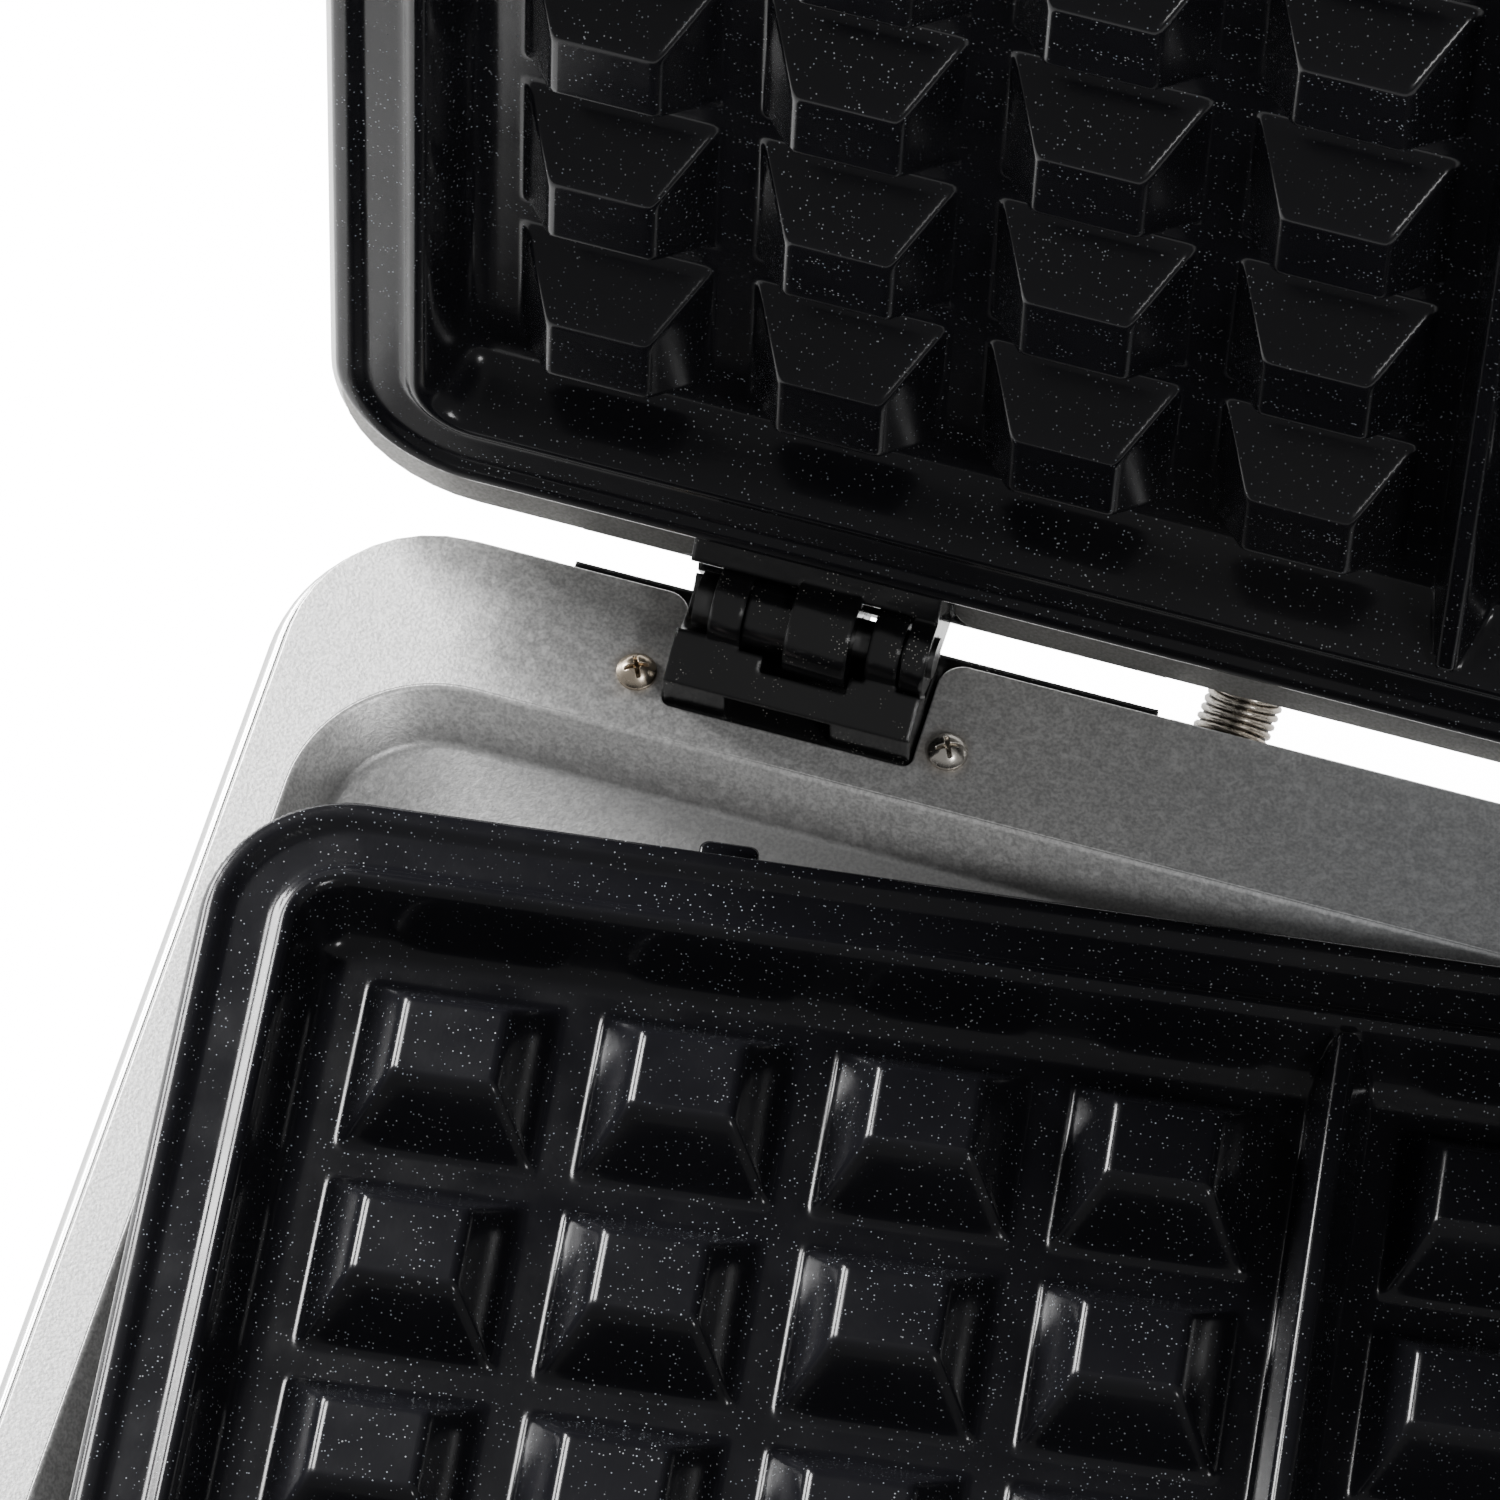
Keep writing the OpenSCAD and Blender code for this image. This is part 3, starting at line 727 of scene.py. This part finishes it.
# ------------------------------------------------------------ wire conduit
def make_conduit():
    """The close-wound wire that guards the leads across the hinge, with a dark tube inside it as painted
    shade behind the gaps between the turns.
    """
    bend = CONDUIT_BEND
    length = bend * CONDUIT_TURN + CONDUIT_TAIL
    steps = 22
    path, shade_core = [], []
    count = int(length / COIL_PITCH * steps)
    for i in range(count + 1):
        along = length * i / count
        angle = min(along / bend, CONDUIT_TURN)
        extra = max(0.0, along - bend * CONDUIT_TURN)
        centre = CONDUIT_START + Vector((0, bend * math.sin(angle), bend * (1 - math.cos(angle))))
        tangent = Vector((0, math.cos(angle), math.sin(angle)))
        centre += tangent * extra + Vector((CONDUIT_LEAN * along / length, 0, 0))
        across = Vector((0, -math.sin(angle), math.cos(angle)))
        wind = 2 * math.pi * i / steps
        path.append(centre + COIL_R * (Vector((1, 0, 0)) * math.cos(wind) + across * math.sin(wind)))
        if i % 6 == 0:
            shade_core.append(centre)
    # the dark tube inside the coil is painted shade that keeps the gaps between the turns dark
    points, faces = join(tube(path, WIRE_R, WIRE_SIDES), tube(shade_core, COIL_R - 0.12, 24))
    piece = new_piece(
        "conduit_wire", points, faces, ON_BASE, "base", PAINTS["conduit_nickel"], ("conduit_spring",)
    )
    piece.data.materials.append(PAINTS["outlet_plastic"])
    for face in piece.data.polygons[WIRE_SIDES * count + 2:]:
        face.material_index = 1
    piece.parent = None
    del piece["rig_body"]
    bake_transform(piece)
    return piece


# ------------------------------------------------------------ bracket screws
def screw_head(x, y):
    """Height of a domed cross-head over the sheet it stands on, from its centre."""
    r = np.hypot(x, y)
    dome = 2.0 - 0.19 * r**2 - 0.0095 * r**4
    turn = math.radians(25)
    along, across = x * math.cos(turn) + y * math.sin(turn), y * math.cos(turn) - x * math.sin(turn)
    slots = np.minimum(np.abs(along), np.abs(across)) - 0.24 - 0.05 * (1.6 - r)
    cut = np.maximum(slots * 3.2, (r - 1.5) * 2.4)
    return np.minimum(dome, soft_max(np.full_like(r, 0.75), dome + np.minimum(cut, 3), 0.12))


def make_hinge_screws(name, place, body):
    """The four pan-head screws of one half's brackets."""
    radii = np.concatenate([np.linspace(0.06, 2.05, 26), [2.2, 2.33, 2.42, HEAD_R]])
    angles = np.linspace(0, 2 * math.pi, 96, endpoint=False)
    heads = []
    for cx, cy in screw_places():
        rings = [[(cx + r * math.cos(a), cy + r * math.sin(a), RIM + 0.02) for a in angles]
                 for r in (SHANK_R, HEAD_R)]
        shank = [[(p[0], p[1], RIM - 7.0) for p in rings[0]]]
        dome = []
        for r in reversed(radii):
            x, y = r * np.cos(angles), r * np.sin(angles)
            z = RIM + np.maximum(screw_head(x, y), 0.35 - 0.12 * max(r - 2.33, 0))
            dome.append(list(zip((cx + x).tolist(), (cy + y).tolist(), z.tolist())))
        heads.append(loft(shank + rings + dome, close_first=True, close_last=True))
    points, faces = join(*heads)
    return new_piece(name + "_domed", points, faces, place, body, PAINTS["screw_nickel"], (name,))


# ------------------------------------------------------------ the object
def dress_cad_nodes():
    """Materials on every CAD node that stays, by its slot."""
    for node, part in frame["nodes"].items():
        part.data.materials.clear()
        part.data.materials.append(PAINTS[SLOTS[node]])
    rounded = {
        "base_hinge_left": 0.6, "base_hinge_right": 0.6, "lid_hinge_left": 0.6,
        "lid_hinge_right": 0.6, "base_handle": 2.2, "lid_handle": 2.0, "thermostat_knob": 0.6,
        "latch": 0.5, "base_release": 0.8, "lid_release": 0.8, "lamp_bezel": 0.7,
        "base_feet": 0.8, "cord_gland": 0.5,
        "hinge_pins": 0.3, "lamp_power": 0.8, "lamp_ready": 0.8, "base_terminals": 0.5,
        "lid_terminals": 0.5, "thermostat_body": 0.5, "base_conduit_grommet": 0.4,
        "lid_conduit_grommet": 0.4, "latch_pin": 0.2, "thermostat_shaft": 0.3,
    }
    for node, width in rounded.items():
        soften(node, width)


def build():
    dress_cad_nodes()
    make_plate("lower_plate", LYING_LOOSE, "lower_plate")
    make_plate("upper_plate", IN_LID, "lid")
    make_pan("base_pan", ON_BASE, "base", PAINTS["pan_sheet"])
    make_pan("lid_pan", IN_LID, "lid", PAINTS["pan_sheet_lid"])
    make_shell("base_shell", ON_BASE, "base")
    make_shell("lid_shell", IN_LID, "lid")
    make_conduit()
    make_hinge_screws("base_hinge_screws", ON_BASE, "base")
    make_hinge_screws("lid_hinge_screws", IN_LID, "lid")


# ------------------------------------------------------------ camera, light, floor
CAMERA_PLACE = Vector((75.8, -426.5, 1050.1)) * MM
CAMERA_TURN = (-16.61, 61.65, -0.23)
CAMERA_LENS = 229.46
FLOOR_HALF = 6.0
FLOOR_GLOW, FLOOR_GLOW_SEEN = 0.3, 14
SKY = 0.34
LIT_POINT = (0, 0.05, 0.05)


def make_camera():
    """The photograph's view: yaw, pitch and roll as solved with the object's own edges."""
    camera = bpy.data.objects.new("Camera", bpy.data.cameras.new("Camera"))
    bpy.context.collection.objects.link(camera)
    yaw, pitch, roll = (math.radians(a) for a in CAMERA_TURN)
    forward = Vector((math.sin(yaw) * math.cos(pitch), math.cos(yaw) * math.cos(pitch), -math.sin(pitch)))
    right = Vector((math.cos(yaw), -math.sin(yaw), 0))
    up = right.cross(forward)
    right, up = (
        right * math.cos(roll) + up * math.sin(roll),
        up * math.cos(roll) - right * math.sin(roll),
    )
    turn = Matrix((right, up, -forward)).transposed().to_4x4()
    camera.matrix_world = Matrix.Translation(CAMERA_PLACE) @ turn
    camera.data.sensor_width = 36
    camera.data.lens = CAMERA_LENS
    camera.data.clip_start = 0.01
    bpy.context.scene.camera = camera


def area_light(name, place, size, power, height=None):
    """A rectangular light aimed at the middle of the object; sizes in metres, power in watts."""
    light = bpy.data.lights.new(name, "AREA")
    light.shape = "RECTANGLE"
    light.size = size
    light.size_y = height or size
    light.energy = power
    lamp = bpy.data.objects.new(name, light)
    lamp.location = place
    lamp.rotation_euler = (Vector(LIT_POINT) - Vector(place)).to_track_quat("-Z", "Y").to_euler()
    bpy.context.collection.objects.link(lamp)


def make_studio():
    """A white floor that shines to the camera, an even sky and three lights."""
    size = FLOOR_HALF
    mesh = bpy.data.meshes.new("floor")
    corners = [(-size, -size, 0), (size, -size, 0), (size, size, 0), (-size, size, 0)]
    mesh.from_pydata(corners, [], [(0, 1, 2, 3)])
    floor = bpy.data.objects.new("floor", mesh)
    bpy.context.collection.objects.link(floor)
    paper = Paint("floor_paper", (0.9, 0.9, 0.9), 0.9)
    paper.colour(paper.mix(paper.noise(3, 2), (0.89, 0.89, 0.89), (0.91, 0.91, 0.91)))
    paper.shader.inputs["Emission Color"].default_value = (1, 1, 1, 1)
    seen = paper.node("ShaderNodeLightPath").outputs["Is Camera Ray"]
    glow = paper.ramp(seen, 0, 1, FLOOR_GLOW, FLOOR_GLOW_SEEN)
    paper.link(glow, paper.shader.inputs["Emission Strength"])
    mesh.materials.append(paper.material)
    world = bpy.data.worlds.new("Studio")
    world.use_nodes = True
    world.node_tree.nodes["Background"].inputs["Color"].default_value = (1, 1, 1, 1)
    world.node_tree.nodes["Background"].inputs["Strength"].default_value = SKY
    bpy.context.scene.world = world
    area_light("key", (-1.1, 0.62, 0.42), 0.5, 40, height=0.4)
    area_light("rear", (-0.95, 0.75, 1.35), 0.35, 34)
    area_light("fill", (0.9, -0.7, 1.2), 0.3, 9)


make_camera()
make_studio()
build()
